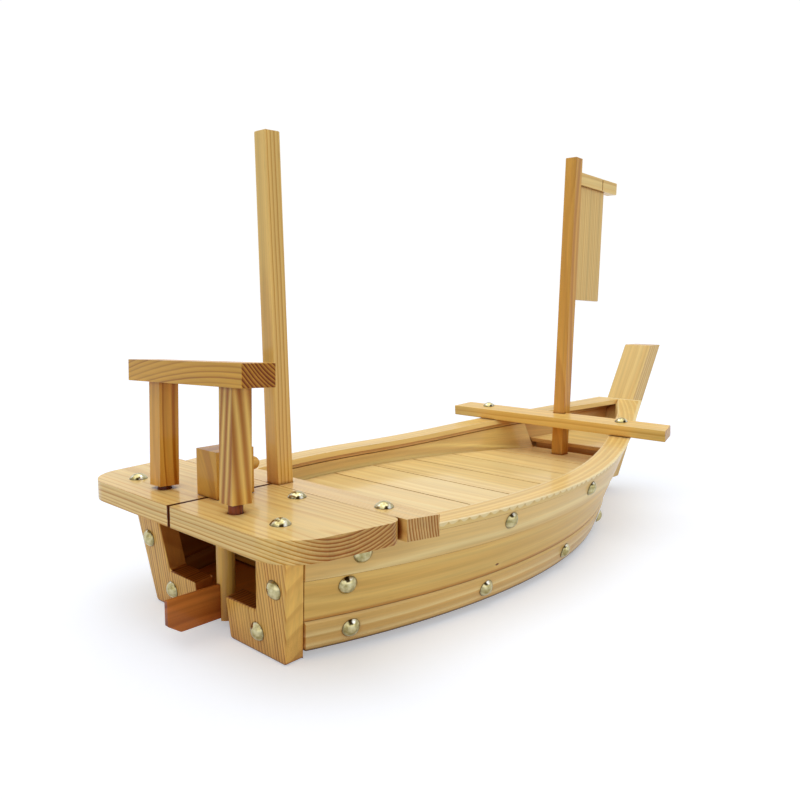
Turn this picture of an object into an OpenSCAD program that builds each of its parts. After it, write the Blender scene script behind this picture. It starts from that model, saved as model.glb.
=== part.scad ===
// A sushi serving boat in varnished pine, about 60 cm long, built from planks, sticks and brass nails.
// X runs forward, Y to port and Z up. The origin is on the table, under the widest section of the hull.

/* [Hull] */
// Half-width over the gunwales at the widest section
beam_half = 112; // [100:1:125]
// Plan radius of the gunwale aft of the widest section
gunwale_r_aft = 440; // [400:5:600]
// Angle at which the gunwale runs straight on to the stem
gunwale_bow_angle = 22; // [21:0.5:24]
// Half-width over the gunwales at the stem
gunwale_stem_half = 24.3; // [20:0.1:28]
// Distance that the gunwale stands out beyond the bottom, at the widest section
side_flare = 17; // [12:0.5:24]
// Distance of the bottom's widest section forward of the gunwale's
bottom_shift = -2; // [-6:1:10]
// Plan radius of the bottom edge aft of its widest section
bottom_r_aft = 480; // [450:5:650]
// Angle at which the bottom edge runs straight on to the stem
bottom_bow_angle = 28.3; // [27:0.1:31]
// Half-width of the bottom at the stem
bottom_stem_half = 4.2; // [2:0.1:8]
// Height of the hull's bottom above the table
keel_h = 5; // [4:0.5:8]
// Width of the keel strip
keel_w = 24; // [16:1:40]
// Height of the gunwale above the table at the stern
gunwale_z = 67.9; // [64:0.1:72]
// Distance forward at which the gunwale starts to rise
sheer_start = 45; // [20:1:70]
// Length over which the rise of the gunwale builds up
sheer_blend = 100; // [60:1:140]
// Steepest rise of the gunwale, as a slope
sheer_slope = 0.104; // [0.08:0.002:0.12]
// Thickness of the bottom board
bottom_thick = 8; // [6:0.5:12]

/* [Planking] */
// Thickness of the side strakes
plank_thick = 9; // [7:0.5:10]
// Distance that the lower wale stands proud of the strakes
wale_proud = 1.4; // [0.8:0.1:2.5]
// Distance that the upper strake stands proud of the middle one
strake_proud = 0.6; // [0.3:0.1:1.2]
// Chamfer along the top edge of the lower wale
wale_chamfer = 1.6; // [0.8:0.1:2.5]
// Height of the top edge of the lower wale
wale_top = 22.6; // [20:0.1:27]
// Height of the top edge of the middle strake
strake_top = 46.5; // [45:0.5:52]
// Thickness of the inner lining
lining_thick = 4.2; // [3:0.1:7]
// Height of the lower edge of the inner lining
lining_low = 35; // [32:0.5:37]
// Distance from the gunwale cap's top down to the inner lining
lining_drop = 8.4; // [7.5:0.1:10]
// Thickness of the beam shelf above the lining
shelf_thick = 4; // [3:0.1:7]
// Width of the gunwale cap
cap_w = 20; // [17:0.5:24]
// Thickness of the gunwale cap
cap_thick = 4; // [3:0.5:5]
// Distance that the cap overhangs the upper strake
cap_overhang = 0.4; // [0.2:0.1:1.5]
// Distance by which the cap widens towards the stem
cap_flare = 6; // [2:0.5:7]
// Length over which the cap widens towards the stem
cap_flare_length = 60; // [40:1:100]

/* [Floor] */
// Height of the floor's top face
floor_z = 50; // [47:0.5:53]
// Thickness of a floor slat
slat_thick = 6; // [4:0.5:7]
// Distance from the floor's forward edge to the stem's aft face, at the hull's bottom
floor_back = 50.2; // [46:0.2:56]
// Part of the first floor slat that is cut off at the bulkhead
slat_cut = 0.38; // [0:0.02:0.6]
// Open joint between floor slats
slat_gap = 1.3; // [0.4:0.1:2]
// Width of the floor ledge
ledge_w = 10; // [8:0.5:14]
// Thickness of the floor ledge
ledge_thick = 6; // [4:0.5:7]
// Open slit under the aft edge of the bow ramp
ramp_slit = 4.2; // [3:0.2:7]
// Depth of that slit, back to the ramp's riser
riser_back = 3; // [2:0.5:6]
// Thickness of the bow ramp
ramp_thick = 4; // [3:0.5:8]
// Distance from the bow ramp's forward edge to the stem
ramp_back = 21; // [16:1:35]

/* [Bow] */
// Distance from the widest section to the stem's aft face, at the hull's bottom
bow_length = 268.7; // [262:0.5:275]
// Forward lean of the stem
stem_lean = 33; // [31:0.5:35]
// Width of the stem
stem_w = 28.6; // [26:0.2:31]
// Thickness of the stem
stem_thick = 20.1; // [18:0.1:23]
// Height of the stem's top
stem_top = 147; // [130:1:165]
// Height of the stem's foot
stem_foot = 15; // [12:0.5:18]

/* [Stern] */
// Distance from the widest section to the transom's aft face, at the table
stern_length = 177.3; // [174:0.1:181]
// Thickness of the transom blocks, fore and aft
transom_thick = 12; // [10:0.5:13]
// Rake of the transom
transom_rake = 6.8; // [5:0.2:8]
// Width of the transom's outer arms
arm_w = 25.8; // [22:0.2:28]
// Height of the transom's lower arms
arm_h = 25.8; // [22:0.2:28]
// Gap between the lower arms for the rudder
rudder_gap = 30; // [28:0.5:34]
// Distance that the deck overhangs the transom's foot
deck_aft = 27.7; // [24:0.1:30]
// Length of the deck, fore and aft
deck_length = 70.7; // [68:0.1:73]
// Thickness of the deck and the mast beam
deck_thick = 12.2; // [11:0.1:14]
// Distance that the deck overhangs the gunwale at its forward edge
deck_side = 21; // [17:0.5:24]
// Angle by which the deck widens forward
deck_angle = 10; // [6:0.5:12]
// Radius of the deck's aft corners
deck_r_aft = 28; // [20:0.5:32]
// Radius of the deck's forward corners
deck_r_fore = 9; // [6:0.5:12]
// Saw kerf between the deck halves
deck_kerf = 2.2; // [1.5:0.1:2.8]
// Width of the mast beam, fore and aft
beam_w = 19.6; // [19:0.1:22]
// Distance that the mast beam overhangs the gunwale to starboard
beam_side = 20.5; // [17:0.5:24]
// Distance that the mast beam overhangs the gunwale to port
beam_port_side = 6.5; // [4:0.5:24]

/* [Rudder] */
// Distance from the transom's foot forward to the rudder's axis
rudder_x = 8.3; // [7.5:0.1:9]
// Diameter of the rudder stock
stock_d = 11; // [9:0.1:12]
// Depth of the rudder blade in the stock
blade_let = 2; // [1:0.1:3]
// Diameter of the stock's round neck, in the deck
neck_d = 8; // [7:0.1:9]
// Running clearance all round the neck
neck_clear = 0.4; // [0.3:0.05:0.6]
// Length of the rudder blade aft of the stock
blade_length = 34; // [30:0.2:38]
// Height of the rudder blade
blade_h = 20.4; // [17:0.1:22]
// Thickness of the rudder blade
blade_thick = 3; // [2.4:0.1:4]
// Height of the blade's lower edge above the table
blade_z = 6.6; // [5:0.1:8]
// Length of the cut at the blade's lower aft corner
blade_cut = 8.2; // [6:0.1:12]
// Height of the cut at the blade's lower aft corner
blade_cut_h = 5.6; // [4:0.2:9]
// Length of the rudder head, fore and aft
head_length = 25.3; // [22:0.1:27]
// Width of the rudder head
head_w = 20; // [17:0.5:22]
// Height of the rudder head
head_h = 27; // [24:0.5:32]
// Part of the rudder head's length that lies aft of the axis
head_aft = 11.3; // [9:0.1:12]
// Diameter of the tiller peg
peg_d = 8; // [6:0.1:9]
// Distance that the tiller peg stands out of the rudder head
peg_out = 10.5; // [8:0.5:12]
// Depth of the tiller peg in the rudder head
peg_in = 7; // [5:0.5:8]
// Height of the tiller peg above the deck
peg_h = 15; // [13:0.5:17]

/* [Gate] */
// Distance from the deck's aft edge to the middle of the gate posts
gate_x = 18.8; // [16:0.1:21]
// Side of the square gate posts
post_side = 12.2; // [10:0.1:13]
// Distance from the middle of the boat to the middle of a gate post
post_y = 37.7; // [34:0.1:42]
// Height of the gate posts
post_h = 61.8; // [50:0.2:70]
// Distance that the gate's dowels lift the posts off the deck
post_lift = 3.6; // [2.5:0.1:4.5]
// Diameter of the gate's dowels
dowel_d = 8; // [6:0.1:9]
// Length of a gate dowel in its post
dowel_in = 14; // [10:0.5:20]
// Depth of a gate dowel in the deck
dowel_deep = 7.4; // [6:0.1:8]
// Clearance all round a dowel in the deck
dowel_clear = 0.35; // [0.3:0.05:0.5]
// Length of the gate bar
bar_length = 120.3; // [110:0.1:130]
// Width of the gate bar, fore and aft
bar_w = 20.8; // [17:0.1:24]
// Height of the gate bar
bar_h = 12.6; // [10:0.1:15]
// Distance that the gate bar sits aft of its posts' middle
bar_back = 0.7; // [0:0.1:2]
// Sideways lean of the gate on its loose dowels
gate_roll = -2.4; // [-3:0.1:0]
// Forward lean of the gate on its loose dowels
gate_pitch = 2.7; // [0:0.1:3]
// Turn of the gate on its loose dowels
gate_yaw = -1.8; // [-2.5:0.1:0]

/* [Masts] */
// Side of the square aft mast at its foot
mast_side = 11.6; // [10:0.1:12]
// Side of the aft mast at its top
mast_top_side = 10.7; // [8:0.1:11.6]
// Height of the aft mast's top
mast_top = 288.8; // [240:1:330]
// Lean of the aft mast, aft
mast_lean = 1.7; // [0:0.1:2]
// Side of the square fore mast
fore_side = 11.3; // [10:0.1:12]
// Distance from the floor's forward edge back to the middle of the fore mast, at the floor
fore_back = 13.2; // [12:0.1:16]
// Height of the fore mast's top
fore_top = 322; // [280:1:360]
// Lean of the fore mast, forward
fore_lean = 1.7; // [0:0.1:2]
// Clearance all round the masts in their sockets
mast_clear = 0.4; // [0.3:0.05:0.6]
// Height of the mast steps
step_h = 15; // [12:0.5:18]
// Depth of the masts' feet in the mast steps
step_deep = 11; // [8:0.5:11]
// Wall of the mast steps round the masts' feet
step_wall = 5; // [4:0.5:6]
// Height of the aft mast step's top
step_z = 40; // [34:0.5:44]

/* [Flag] */
// Length of the flag bar in front of the fore mast
flag_length = 69.5; // [60:0.5:85]
// Height of the flag bar
flag_bar_h = 11; // [9:0.2:13]
// Thickness of the flag bar
flag_bar_thick = 10; // [7:0.2:11]
// Distance from the top of the fore mast to the top of the flag bar
flag_drop = 12; // [8:0.5:18]
// Width of the flag plank
flag_w = 49.3; // [44:0.1:56]
// Height of the flag plank below the flag bar
flag_h = 104; // [80:1:120]
// Thickness of the flag plank
flag_thick = 4; // [3:0.2:6]
// Depth of the flag plank in the flag bar's groove
flag_groove = 4; // [3:0.2:5]
// Width of the scored line across the flag bar
score_w = 1; // [0.6:0.1:1.5]
// Distance of the scored line from the fore mast
score_x = 41; // [36:0.5:44]

/* [Crossbar] */
// Length of the crossbar
crossbar_length = 221; // [200:1:240]
// Width of the crossbar
crossbar_w = 21.5; // [18:0.5:24]
// Height of the crossbar
crossbar_h = 9.3; // [8:0.1:12]
// Depth of the fore mast's notch in the crossbar
crossbar_notch = 6; // [5:0.5:8]
// Distance by which the crossbar's forward edge is shorter at each end
crossbar_slant = 4.6; // [2:0.2:8]
// Height of the crossbar over the gunwale caps
crossbar_lift = 0.7; // [0.3:0.1:0.9]
// Distance of the crossbar's port nail from the middle of the boat
crossbar_nail_port = 78; // [70:1:90]
// Distance of the crossbar's starboard nail from the middle of the boat
crossbar_nail_starboard = 64.5; // [60:0.5:90]

/* [Nails] */
// Diameter of the dome nails
nail_d = 11; // [9:0.5:12]
// Height of the dome nails
nail_h = 3.2; // [2.5:0.1:4]
// Distance of the deck's aft nails from its aft edge
deck_nail_aft = 21; // [18:0.5:26]
// Distance of the deck's aft nails from its widest point, sideways
deck_nail_side = 41; // [36:0.5:46]
// Distance of the deck's forward nails from its forward edge
deck_nail_fore = 9.6; // [8:0.2:14]
// Distance of the deck's forward nails from the middle of the boat
deck_nail_mid = 35.5; // [30:0.5:45]
// Distance of the beam's nails in from the gunwale
beam_nail_in = 5; // [3:0.5:9]
// Height of the transom's upper nails
transom_nail_z = 42.8; // [38:0.2:46]
// Distance of the transom's upper nails in from the side at its foot
transom_nail_in = 2.5; // [0:0.5:6]
// Height of the transom's lower nails
transom_low_nail_z = 13.2; // [10:0.2:16]
// Distance of the transom's lower nails in from the side at its foot
transom_low_nail_in = 22; // [18:0.5:26]
// Distance of the first side nails forward of the transom's foot
side_nail_first = 36; // [30:1:40]
// Distance from one lower side nail to the next
lower_nail_pitch = 98; // [92:1:102]
// Distance from one upper side nail to the next
upper_nail_pitch = 107; // [100:1:112]
// Height of the lower side nails
lower_nail_z = 14.2; // [12:0.1:15]
// Height of the middle side nails
middle_nail_z = 40.5; // [36:0.5:41]
// Distance of the upper side nails below the gunwale
upper_nail_drop = 9.8; // [9:0.1:12]

/* [Hidden] */
// Thin gap left for glue between pieces that are fastened together
seam = 0.3;
// Room round the rudder stock
rudder_room = 3;
// Number of steps along a curved plank
plank_steps = 40;
// Reach of the cuts that pass right through
far = 400;
$fn = 48;
// Number of floor slats
slat_count = 8;

bow_tan = tan(stem_lean);
stem_x_thick = stem_thick / cos(stem_lean);
rake_tan = tan(transom_rake);
bottom_half = beam_half - side_flare;
gunwale_r_fore = fore_radius(beam_half - gunwale_stem_half, stem_aft(cap_z(bow_length)), gunwale_bow_angle);
bottom_r_fore = fore_radius(bottom_half - bottom_stem_half, bow_length - bottom_shift, bottom_bow_angle);
transom_x = -stern_length;
transom_fore = transom_x + transom_thick;
deck_aft_x = transom_x - deck_aft;
beam_aft_x = deck_aft_x + deck_length;
beam_fore_x = beam_aft_x + beam_w;
deck_z = gunwale_z + deck_thick;
deck_half = gunwale_half(beam_aft_x) + deck_side;
floor_low = floor_z - slat_thick;
cap_low = cap_thick + seam;
lining_out = plank_thick + seam;
lining_in = lining_out + lining_thick;
floor_edge = lining_in + seam;
mast_x = beam_aft_x + mast_clear + mast_side / 2;
mast_foot = step_z - step_deep;
bulkhead_aft = mast_x + mast_side / 2 + 2 * mast_clear + (deck_z - mast_foot) * tan(mast_lean);
well_aft = beam_fore_x + seam;
fore_step_z = floor_low - seam;
fore_foot = fore_step_z - step_deep;
rudder_axis = transom_x + rudder_x;
slit_x = bow_length - floor_back;
slat_pitch = (slit_x - well_aft) / (slat_count - slat_cut);
fore_x = slit_x - fore_back;
ramp_x = slit_x + slat_gap;
ramp_end = stem_aft(cap_z(bow_length) - cap_w) - ramp_back;
ramp_low = floor_z + ramp_slit;
ramp_tan = sheer_slope;
crossbar_x = fore_x + bow_shift(cap_z(fore_x)) - fore_side / 2 + crossbar_notch - crossbar_w / 2 - mast_clear;
crossbar_z = cap_z(crossbar_x) + crossbar_lift;
crossbar_tilt = atan(sheer_slope);
flare_x = stem_aft(cap_z(bow_length)) - cap_flare_length;
glue = seam / 2;

wood = [0.86, 0.70, 0.42];
wood_pale = [0.91, 0.79, 0.55];
wood_red = [0.70, 0.46, 0.22];
brass = [0.80, 0.72, 0.45];

SLATS = [for (i = [1:slat_count]) str("floor_slat_", i)];
SIDED = [for (name = ["transom", "lower_wale", "middle_strake", "upper_strake", "lining", "beam_shelf",
                      "floor_ledge", "gunwale_cap", "deck", "gate_post", "gate_dowel", "side_nails"])
         for (side = ["port", "starboard"]) str(name, "_", side)];
SINGLE = ["keel_strip", "bottom_board", "stem", "stern_bulkhead", "bow_ramp", "mast_beam",
          "rudder_stock", "rudder_blade", "rudder_head", "tiller_peg", "gate_bar",
          "aft_mast", "aft_mast_step", "fore_mast", "fore_mast_step", "flag_bar", "flag_plank", "crossbar",
          "deck_nails", "beam_nails", "transom_nails", "crossbar_nails"];

// Plan curve of one edge of the hull: an arc aft, an arc forward, then a straight run at an angle
function arc_drop(d, r) = r - sqrt(r * r - d * d);
function plan_half(x, peak, r_aft, r_fore, angle) =
    let (straight = r_fore * sin(angle))
    x < 0 ? peak - arc_drop(x, r_aft)
    : x < straight ? peak - arc_drop(x, r_fore)
    : peak - arc_drop(straight, r_fore) - (x - straight) * tan(angle);

// Radius with which that curve narrows by drop on the way to a place x
function fore_radius(drop, x, angle) = (x * sin(angle) - drop * cos(angle)) / (1 - cos(angle));

function gunwale_half(x) = plan_half(x, beam_half, gunwale_r_aft, gunwale_r_fore, gunwale_bow_angle);
function bottom_half_at(x) = plan_half(x - bottom_shift, bottom_half, bottom_r_aft, bottom_r_fore, bottom_bow_angle);

// Height of the gunwale: level, then an easing curve, then a steady rise to the bow
function cap_z(x) =
    let (d = x - sheer_start)
    gunwale_z + (d < 0 ? 0 : d < sheer_blend ? sheer_slope * d * d / (2 * sheer_blend) : sheer_slope * (d - sheer_blend / 2));

// Half-width of the planking's outer face at any place along the hull and any height
function half(x, z) =
    let (share = (z - keel_h) / (cap_z(x) - keel_h))
    (1 - share) * bottom_half_at(x) + share * gunwale_half(x);

// Outward direction of the port planking
function side_normal(x, z) =
    let (along = half(x + 1, z) - half(x - 1, z), up = half(x, z + 1) - half(x, z - 1))
    [-along / 2, 1, -up / 2];

// How far the leaning fore mast has moved forward at a height
function bow_shift(z) = (z - floor_z) * tan(fore_lean);

// Place of the stem's aft face at a height
function stem_aft(z) = bow_length + (z - keel_h) * bow_tan;

// How far the gunwale cap has widened on its way to the stem
function flare(x) = cap_flare * max(0, x - flare_x) / cap_flare_length;

// Points along a round corner
function corner(middle, r, from, to) =
    [for (i = [0:12]) let (a = from + (to - from) * i / 12) middle + r * [cos(a), sin(a)]];

// Solid through a row of rings with the same number of points
module loft(rings) {
    count = len(rings[0]);
    last = (len(rings) - 1) * count;
    sides = [for (i = [0:len(rings) - 2]) for (j = [0:count - 1])
        let (a = i * count + j, b = i * count + (j + 1) % count)
        each [[a, a + count, b], [b, a + count, b + count]]];
    polyhedron(
        points = [for (ring = rings) each ring],
        faces = concat([[for (j = [0:count - 1]) j]], sides, [[for (j = [count - 1:-1:0]) last + j]]));
}

// Outline in the X-Z plane, extruded to both sides of the middle line
module across(width) {
    rotate([90, 0, 0])
        linear_extrude(width, center = true)
            children();
}

// Everything in front of the stem's aft face
module bow_cut() {
    across(2 * far)
        polygon([[stem_aft(-far) - seam, -far], [3 * far, -far], [3 * far, far], [stem_aft(far) - seam, far]]);
}

// Everything on the starboard side of the middle line
module side_cut() {
    translate([0, glue - far, 0])
        cube([4 * far, 2 * far, 4 * far], center = true);
}

// Everything behind the transom's forward face
module stern_cut() {
    across(2 * far)
        polygon([[transom_fore + seam + far * rake_tan, -far], [transom_fore + seam - far * rake_tan, far],
                 [-far - far, far], [-far - far, -far]]);
}

// Curved plank of the port side: each corner is [distance in from the planking's face, height]
// A height is a number, or a depth below the gunwale when follow_sheer names that corner
// The corners that flares names widen with the cap
module plank(x_from, x_to, corners, follow_sheer, flares = []) {
    loft([for (i = [0:plank_steps])
        let (x = x_from + (x_to - x_from) * i / plank_steps)
        [for (k = [0:len(corners) - 1])
            let (z = follow_sheer[k] ? cap_z(x) - corners[k][1] : corners[k][1],
                 in = corners[k][0] + (flares[k] == true ? flare(x) : 0))
            [x, half(x, z) - in, z]]]);
}

// Outer plank from the transom to the stem
module outer_plank(corners, follow_sheer, flares = []) {
    difference() {
        plank(transom_x - 2 * transom_thick, stem_aft(stem_top), corners, follow_sheer, flares);
        bow_cut();
        stern_cut();
        side_cut();
    }
}

// Inner plank from the bulkhead forward, as far as the stem's aft face
module inner_plank(x_to, corners, follow_sheer) {
    difference() {
        plank(well_aft, x_to, corners, follow_sheer);
        bow_cut();
        side_cut();
    }
}

// One solid for the port side, mirrored for the starboard side
module on_side(side) {
    if (side == "port") children();
    else mirror([0, 1, 0]) children();
}

module lower_wale(side) {
    color(wood) on_side(side)
        outer_plank([[plank_thick, keel_h], [-wale_proud, keel_h], [-wale_proud, wale_top - wale_chamfer],
                     [wale_chamfer - wale_proud, wale_top], [plank_thick, wale_top]],
                    [false, false, false, false, false]);
}

module middle_strake(side) {
    low = wale_top + seam;
    color(wood) on_side(side)
        outer_plank([[plank_thick, low], [0, low], [0, strake_top], [plank_thick, strake_top]],
                    [false, false, false, false]);
}

module upper_strake(side) {
    low = strake_top + seam;
    color(wood_pale) on_side(side)
        outer_plank([[plank_thick, low], [-strake_proud, low], [-strake_proud, cap_low], [plank_thick, cap_low]],
                    [false, false, true, true]);
}

module gunwale_cap(side) {
    outer = -strake_proud - cap_overhang;
    color(wood_pale) on_side(side)
        outer_plank([[outer + cap_w, cap_thick], [outer, cap_thick], [outer, 0], [outer + cap_w, 0]],
                    [true, true, true, true], [true, false, false, true]);
}

module lining(side) {
    color(wood) on_side(side)
        inner_plank(slit_x, [[lining_in, lining_low], [lining_out, lining_low],
                     [lining_out, lining_drop], [lining_in, lining_drop]],
                    [false, false, true, true]);
}

module beam_shelf(side) {
    low = lining_drop - seam;
    color(wood) on_side(side)
        inner_plank(stem_aft(stem_top), [[lining_out + shelf_thick, low], [lining_out, low],
                     [lining_out, cap_low], [lining_out + shelf_thick, cap_low]],
                    [true, true, true, true]);
}

module floor_ledge(side) {
    high = floor_low - seam;
    color(wood) on_side(side)
        difference() {
            plank(well_aft, slit_x, [[floor_edge + ledge_w, high - ledge_thick], [floor_edge, high - ledge_thick],
                                     [floor_edge, high], [floor_edge + ledge_w, high]],
                  [false, false, false, false]);
            fore_step_space();
        }
}

// Room round the fore mast step
module fore_step_space() {
    fore_place()
        translate([0, 0, fore_step_z - floor_z - step_h / 2])
            cube([fore_side, fore_side, step_h] + 2 * (step_wall + mast_clear + seam) * [1, 1, 1], center = true);
}

// Floor board of the hull, between the lower wales
module bottom_board() {
    aft = transom_fore + seam;
    fore = bow_length - plank_thick / tan(bottom_bow_angle);
    edge = [for (i = [0:plank_steps]) let (x = aft + (fore - aft) * i / plank_steps)
        [x, half(x, keel_h) - plank_thick - seam]];
    color(wood)
        difference() {
            translate([0, 0, keel_h])
                linear_extrude(bottom_thick)
                    polygon(concat(edge, [for (i = [plank_steps:-1:0]) [edge[i][0], -edge[i][1]]]));
            stern_cut();
            translate([rudder_axis, 0, 0])
                cylinder(d = stock_d + 2 * rudder_room, h = far);
        }
}

module keel_strip() {
    aft = rudder_axis + 2 * stock_d;
    fore = bow_length - 2 * keel_w;
    color(wood)
        linear_extrude(keel_h)
            union() {
                translate([aft, -keel_w / 2])
                    square([fore - aft, keel_w]);
                translate([fore, 0])
                    circle(d = keel_w);
            }
}

module stem() {
    color(wood_pale)
        across(stem_w)
            polygon([[stem_aft(stem_foot), stem_foot], [stem_aft(stem_foot) + stem_x_thick, stem_foot],
                     [stem_aft(stem_top) + stem_x_thick, stem_top], [stem_aft(stem_top), stem_top]]);
}

// L-shaped block: an outer arm up the side and a lower arm towards the rudder
module transom(side) {
    foot_half = half(transom_fore, 0);
    spread = (half(transom_fore - gunwale_z * rake_tan, gunwale_z) - foot_half) / gunwale_z;
    low = -transom_thick;
    high = gunwale_z + transom_thick;
    color(wood) on_side(side)
        intersection() {
            translate([transom_x, 0, 0])
                rotate([90, 0, 90])
                    multi_rake()
                        polygon([[rudder_gap / 2, low], [foot_half + spread * low, low],
                                 [foot_half + spread * high, high], [foot_half + spread * high - arm_w, high],
                                 [foot_half + spread * arm_h - arm_w, arm_h], [rudder_gap / 2, arm_h]]);
            translate([transom_x - far / 2, 0, 0])
                cube([far, far, gunwale_z]);
        }
}

// Extrusion of the transom's outline that leans aft with the rake
module multi_rake() {
    rotate([-transom_rake, 0, 0])
        linear_extrude(transom_thick * cos(transom_rake))
            children();
}

module stern_bulkhead() {
    low = keel_h + bottom_thick + seam;
    high = gunwale_z - seam;
    x = bulkhead_aft;
    in = plank_thick + 2 * seam;
    cap_in = cap_w - cap_overhang - strake_proud + seam;
    shoulder = gunwale_z - cap_thick - 2 * seam;
    edge = [[half(x, low) - in, low], [half(x, shoulder) - in, shoulder],
            [half(x, shoulder) - cap_in, shoulder], [half(x, shoulder) - cap_in, high]];
    color(wood)
        translate([x, 0, 0])
            rotate([90, 0, 90])
                linear_extrude(beam_fore_x - x)
                    polygon(concat(edge, [for (i = [len(edge) - 1:-1:0]) [-edge[i][0], edge[i][1]]]));
}

// Floor slats, numbered from the bulkhead forward; the last one lets the fore mast through
module floor_slat(number) {
    fore = slit_x - (slat_count - number) * slat_pitch;
    aft = max(fore - slat_pitch + slat_gap, well_aft);
    edge = floor_edge + seam;
    color(wood_pale)
        difference() {
            translate([0, 0, floor_low])
                linear_extrude(slat_thick)
                    polygon([[aft, -half(aft, floor_low) + edge], [fore, -half(fore, floor_low) + edge],
                             [fore, half(fore, floor_low) - edge], [aft, half(aft, floor_low) - edge]]);
            fore_place() fore_hole();
        }
}

module bow_ramp() {
    end = ramp_end;
    rise = (end - ramp_x) * ramp_tan;
    edge = plank_thick + 2 * seam;
    color(wood_pale)
        union() {
            intersection() {
                across(2 * far)
                    polygon([[ramp_x, ramp_low], [end, ramp_low + rise], [end, ramp_low + rise + ramp_thick],
                             [ramp_x, ramp_low + ramp_thick]]);
                linear_extrude(far)
                    polygon([[ramp_x, -half(ramp_x, ramp_low) + edge], [end, -half(end, ramp_low) + edge],
                             [end, half(end, ramp_low) - edge], [ramp_x, half(ramp_x, ramp_low) - edge]]);
            }
            ramp_riser();
        }
}

// Riser that closes the slit under the aft edge of the bow ramp
module ramp_riser() {
    aft = ramp_x + riser_back;
    fore = aft + ramp_thick;
    edge = plank_thick + 2 * seam;
    translate([0, 0, floor_low])
        linear_extrude(ramp_low + ramp_thick / 2 - floor_low)
            polygon([[aft, -half(aft, floor_low) + edge], [fore, -half(fore, floor_low) + edge],
                     [fore, half(fore, floor_low) - edge], [aft, half(aft, floor_low) - edge]]);
}

// Half of the deck, with rounded outer corners, a dowel hole and half of the rudder's bearing
module deck(side) {
    slope = tan(deck_angle);
    aft_mid = [deck_aft_x + deck_r_aft,
               deck_half - slope * (deck_length - deck_r_aft) - deck_r_aft / cos(deck_angle)];
    fore_mid = [beam_aft_x - deck_r_fore, deck_half - slope * deck_r_fore - deck_r_fore / cos(deck_angle)];
    color(wood)
        difference() {
            on_side(side)
                translate([0, 0, gunwale_z + glue])
                    linear_extrude(deck_thick - glue)
                        polygon(concat([[beam_aft_x, deck_kerf / 2]],
                                       corner(fore_mid, deck_r_fore, 0, 90 + deck_angle),
                                       corner(aft_mid, deck_r_aft, 90 + deck_angle, 180),
                                       [[deck_aft_x, deck_kerf / 2]]));
            translate([rudder_axis, 0, 0])
                cylinder(d = neck_d + 2 * neck_clear, h = far);
            gate_place() gate_holes();
        }
}

// Cross beam in front of the deck, notched for the aft mast
module mast_beam() {
    aft_half = gunwale_half(beam_aft_x);
    fore_half = gunwale_half(beam_fore_x);
    aft = beam_aft_x + seam;
    color(wood)
        difference() {
            translate([0, 0, gunwale_z + glue])
                linear_extrude(deck_thick - glue)
                    polygon([[aft, -aft_half - beam_side], [beam_fore_x, -fore_half - beam_side],
                             [beam_fore_x, fore_half + beam_port_side], [aft, aft_half + beam_port_side]]);
            mast_place() mast_hole();
        }
}

// The rudder turns about a vertical axis behind the transom
module rudder_stock() {
    top = deck_z + head_h * 0.7;
    neck_low = gunwale_z - 2 * seam;
    color(wood)
        translate([rudder_axis, 0, 0])
            difference() {
                union() {
                    translate([0, 0, keel_h])
                        cylinder(d = stock_d, h = neck_low - keel_h);
                    translate([0, 0, neck_low - seam])
                        cylinder(d = neck_d, h = top - neck_low);
                }
                translate([-stock_d, -blade_thick / 2 - glue, 0])
                    cube([stock_d / 2 + blade_let + glue, blade_thick + 2 * glue, blade_z + blade_h + glue]);
            }
}

module rudder_blade() {
    fore = rudder_axis - stock_d / 2 + blade_let;
    aft = rudder_axis - stock_d / 2 - blade_length;
    color(wood_red)
        across(blade_thick)
            polygon([[fore, blade_z], [aft + blade_cut, blade_z], [aft, blade_z + blade_cut_h],
                     [aft, blade_z + blade_h], [fore, blade_z + blade_h]]);
}

module rudder_head() {
    color(wood)
        translate([rudder_axis, 0, deck_z + seam])
            difference() {
                translate([-head_aft, -head_w / 2, 0])
                    cube([head_length, head_w, head_h]);
                translate([0, 0, -seam])
                    cylinder(d = neck_d + 2 * glue, h = head_h * 0.7 + seam);
                translate([head_length - head_aft - peg_in - glue, 0, peg_h])
                    rotate([0, 90, 0])
                        cylinder(d = peg_d + 2 * glue, h = far);
            }
}

module tiller_peg() {
    face = rudder_axis + head_length - head_aft;
    color(wood)
        translate([face - peg_in, 0, deck_z + seam + peg_h])
            rotate([0, 90, 0])
                rotate_extrude()
                    intersection() {
                        square([peg_d / 2, peg_in + peg_out]);
                        union() {
                            square([peg_d, peg_in + peg_out - peg_d / 2]);
                            translate([0, peg_in + peg_out - peg_d / 2])
                                circle(d = peg_d);
                        }
                    }
}

// The gate stands on dowels, a little crooked
module gate_place() {
    translate([deck_aft_x + gate_x, 0, deck_z + post_lift])
        rotate([gate_roll, gate_pitch, gate_yaw])
            children();
}

module gate_holes() {
    for (y = [-post_y, post_y])
        translate([0, y, -post_lift - dowel_deep - seam])
            cylinder(d = dowel_d + 2 * dowel_clear, h = far);
}

module gate_post(side) {
    color(wood) gate_place() on_side(side)
        difference() {
            translate([-post_side / 2, post_y - post_side / 2, 0])
                cube([post_side, post_side, post_h]);
            translate([0, post_y, -seam])
                cylinder(d = dowel_d + 2 * glue, h = dowel_in + 2 * seam);
        }
}

module gate_dowel(side) {
    color(wood_red) gate_place() on_side(side)
        translate([0, post_y, -post_lift - dowel_deep])
            cylinder(d = dowel_d, h = post_lift + dowel_deep + dowel_in);
}

module gate_bar() {
    color(wood) gate_place()
        translate([-bar_back - bar_w / 2, -bar_length / 2, post_h])
            cube([bar_w, bar_length, bar_h]);
}

// Aft mast, tapered, leaning aft, with its foot in a step behind the bulkhead
module mast_place() {
    translate([mast_x, 0, deck_z])
        rotate([0, -mast_lean, 0])
            children();
}

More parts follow.
